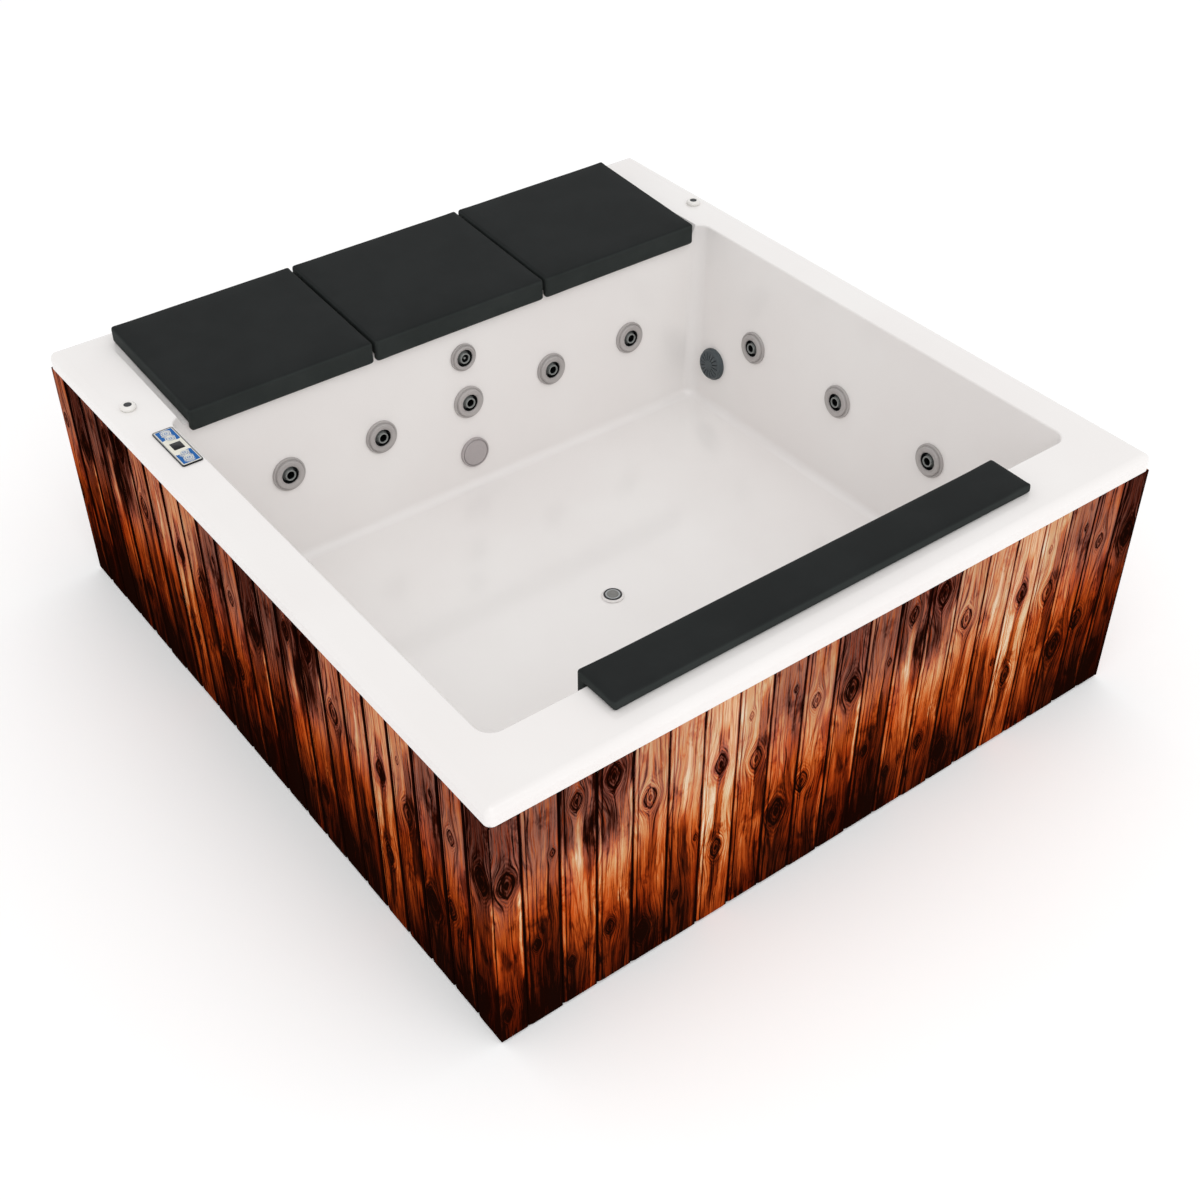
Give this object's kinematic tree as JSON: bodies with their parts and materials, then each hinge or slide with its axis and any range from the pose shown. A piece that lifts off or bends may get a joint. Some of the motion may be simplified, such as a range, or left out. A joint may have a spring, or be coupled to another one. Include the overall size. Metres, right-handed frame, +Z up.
{
  "type": "hot tub",
  "caption": "Square outdoor hot tub: white moulded basin with jets, padded back deck and headrest, control panel and wooden board skirt.",
  "frame": {"origin": "on the ground under the middle of the tub, at the bottom centre of its box", "axes": "+Z up, -Y towards the front rim with the narrow headrest, +Y towards the three back pads, -X towards the control panel"},
  "size_m": [1.9, 2.01, 0.7632],
  "materials": {
    "shell": "gloss",
    "dark_plastic": "matte",
    "zinc": "satin",
    "frame_wood": "raw",
    "boards": "oiled",
    "gasket": "matte",
    "jet_grey": "satin",
    "lens": "gloss",
    "pipe_white": "satin",
    "cover_grey": "satin",
    "drain_metal": "polished",
    "plug_grey": "satin",
    "panel_cream": "satin",
    "display": "gloss",
    "knob_white": "satin",
    "motor_paint": "painted",
    "steel": "satin",
    "box_grey": "satin",
    "pad": "matte foam",
    "key_blue": "satin"
  },
  "bodies": {
    "tub": {"tub_shell": "shell", "base_pan": "dark_plastic", "levelling_feet": "zinc", "corner_posts": "frame_wood", "top_rails": "frame_wood", "cladding_rails": "frame_wood", "basin_bearers": "frame_wood", "frame_bolts": "zinc", "skirt_front": "boards", "skirt_left": "boards", "skirt_right": "boards", "skirt_back": "boards", "jet_bodies": "dark_plastic", "wall_gaskets": "gasket", "wall_nuts": "dark_plastic", "jet_faces": "jet_grey", "lamp_body": "dark_plastic", "lamp_lens": "lens", "suction_bodies": "pipe_white", "suction_covers": "cover_grey", "drain_flange": "drain_metal", "drain_waste": "pipe_white", "panel_frame": "dark_plastic", "panel_face": "panel_cream", "panel_display": "display", "air_valve_bodies": "pipe_white", "pump_motor": "motor_paint", "pump_wet_end": "dark_plastic", "suction_pipe": "pipe_white", "water_manifold": "pipe_white", "air_manifold": "pipe_white", "heater": "steel", "heater_pipes": "pipe_white", "control_box": "box_grey", "cable_gland": "dark_plastic", "pad_pegs": "dark_plastic"},
    "drain_plug": {"drain_plug": "plug_grey"},
    "air_knob_left": {"air_knob_left": "knob_white"},
    "air_knob_right": {"air_knob_right": "knob_white"},
    "pump_rotor": {"pump_rotor": "steel"},
    "back_pad_left": {"back_pad_left": "pad"},
    "back_pad_middle": {"back_pad_middle": "pad"},
    "back_pad_right": {"back_pad_right": "pad"},
    "front_headrest": {"front_headrest": "pad"},
    "jet_nozzle_1": {"jet_nozzle_1": "jet_grey"},
    "jet_nozzle_2": {"jet_nozzle_2": "jet_grey"},
    "jet_nozzle_3": {"jet_nozzle_3": "jet_grey"},
    "jet_nozzle_4": {"jet_nozzle_4": "jet_grey"},
    "jet_nozzle_5": {"jet_nozzle_5": "jet_grey"},
    "jet_nozzle_6": {"jet_nozzle_6": "jet_grey"},
    "jet_nozzle_7": {"jet_nozzle_7": "jet_grey"},
    "jet_nozzle_8": {"jet_nozzle_8": "jet_grey"},
    "jet_nozzle_9": {"jet_nozzle_9": "jet_grey"},
    "jet_nozzle_10": {"jet_nozzle_10": "jet_grey"},
    "jet_nozzle_11": {"jet_nozzle_11": "jet_grey"},
    "jet_nozzle_12": {"jet_nozzle_12": "jet_grey"},
    "panel_button_1": {"panel_button_1": "key_blue"},
    "panel_button_2": {"panel_button_2": "key_blue"},
    "panel_button_3": {"panel_button_3": "key_blue"},
    "panel_button_4": {"panel_button_4": "key_blue"}
  },
  "joints": [
    {"name": "nozzle_tilt_1", "type": "hinge", "parent": "tub", "child": "jet_nozzle_1", "pos_m": [-0.56, 0.51722, 0.44496], "axis": [1, 0, 0], "range_deg": [-12, 12]},
    {"name": "nozzle_tilt_2", "type": "hinge", "parent": "tub", "child": "jet_nozzle_2", "pos_m": [-0.28, 0.51722, 0.44496], "axis": [1, 0, 0], "range_deg": [-12, 12]},
    {"name": "nozzle_tilt_3", "type": "hinge", "parent": "tub", "child": "jet_nozzle_3", "pos_m": [0, 0.51722, 0.44496], "axis": [1, 0, 0], "range_deg": [-12, 12]},
    {"name": "nozzle_tilt_4", "type": "hinge", "parent": "tub", "child": "jet_nozzle_4", "pos_m": [0.28, 0.51722, 0.44496], "axis": [1, 0, 0], "range_deg": [-12, 12]},
    {"name": "nozzle_tilt_5", "type": "hinge", "parent": "tub", "child": "jet_nozzle_5", "pos_m": [0.56, 0.51722, 0.44496], "axis": [1, 0, 0], "range_deg": [-12, 12]},
    {"name": "nozzle_tilt_6", "type": "hinge", "parent": "tub", "child": "jet_nozzle_6", "pos_m": [0, 0.53149, 0.58096], "axis": [1, 0, 0], "range_deg": [-12, 12]},
    {"name": "nozzle_tilt_7", "type": "hinge", "parent": "tub", "child": "jet_nozzle_7", "pos_m": [0.82143, 0.244, 0.44487], "axis": [0, 1, 0], "range_deg": [-12, 12]},
    {"name": "nozzle_tilt_8", "type": "hinge", "parent": "tub", "child": "jet_nozzle_8", "pos_m": [0.82143, -0.107, 0.44487], "axis": [0, 1, 0], "range_deg": [-12, 12]},
    {"name": "nozzle_tilt_9", "type": "hinge", "parent": "tub", "child": "jet_nozzle_9", "pos_m": [0.82143, -0.458, 0.44487], "axis": [0, 1, 0], "range_deg": [-12, 12]},
    {"name": "nozzle_tilt_10", "type": "hinge", "parent": "tub", "child": "jet_nozzle_10", "pos_m": [-0.82143, 0.244, 0.44487], "axis": [0, 1, 0], "range_deg": [-12, 12]},
    {"name": "nozzle_tilt_11", "type": "hinge", "parent": "tub", "child": "jet_nozzle_11", "pos_m": [-0.82143, -0.107, 0.44487], "axis": [0, 1, 0], "range_deg": [-12, 12]},
    {"name": "nozzle_tilt_12", "type": "hinge", "parent": "tub", "child": "jet_nozzle_12", "pos_m": [-0.82143, -0.458, 0.44487], "axis": [0, 1, 0], "range_deg": [-12, 12]},
    {"name": "plug_lift", "type": "slide", "parent": "tub", "child": "drain_plug", "axis": [0, 0, 1], "range_m": [0, 0.008]},
    {"name": "key_press_1", "type": "slide", "parent": "tub", "child": "panel_button_1", "axis": [0, 0, -1], "range_m": [0, 0.0008], "stiffness_N_per_m": 600, "springref_m": -0.0005},
    {"name": "key_press_2", "type": "slide", "parent": "tub", "child": "panel_button_2", "axis": [0, 0, -1], "range_m": [0, 0.0008], "stiffness_N_per_m": 600, "springref_m": -0.0005},
    {"name": "key_press_3", "type": "slide", "parent": "tub", "child": "panel_button_3", "axis": [0, 0, -1], "range_m": [0, 0.0008], "stiffness_N_per_m": 600, "springref_m": -0.0005},
    {"name": "key_press_4", "type": "slide", "parent": "tub", "child": "panel_button_4", "axis": [0, 0, -1], "range_m": [0, 0.0008], "stiffness_N_per_m": 600, "springref_m": -0.0005},
    {"name": "air_turn_left", "type": "hinge", "parent": "tub", "child": "air_knob_left", "pos_m": [-0.897, 0.636, 0.715], "axis": [0, 0, 1], "range_deg": [0, 120]},
    {"name": "air_turn_right", "type": "hinge", "parent": "tub", "child": "air_knob_right", "pos_m": [0.897, 0.636, 0.715], "axis": [0, 0, 1], "range_deg": [0, 120]},
    {"name": "rotor_spin", "type": "hinge", "parent": "tub", "child": "pump_rotor", "pos_m": [0.5, 0.762, 0.152], "axis": [1, 0, 0], "continuous": true},
    {"name": "back_pad_left_lift_off", "type": "slide", "parent": "tub", "child": "back_pad_left", "axis": [0, 0, 1], "range_m": [0, 0.12]},
    {"name": "back_pad_middle_lift_off", "type": "slide", "parent": "tub", "child": "back_pad_middle", "axis": [0, 0, 1], "range_m": [0, 0.12]},
    {"name": "back_pad_right_lift_off", "type": "slide", "parent": "tub", "child": "back_pad_right", "axis": [0, 0, 1], "range_m": [0, 0.12]},
    {"name": "front_headrest_lift_off", "type": "slide", "parent": "tub", "child": "front_headrest", "axis": [0, 0, 1], "range_m": [0, 0.12]}
  ]
}
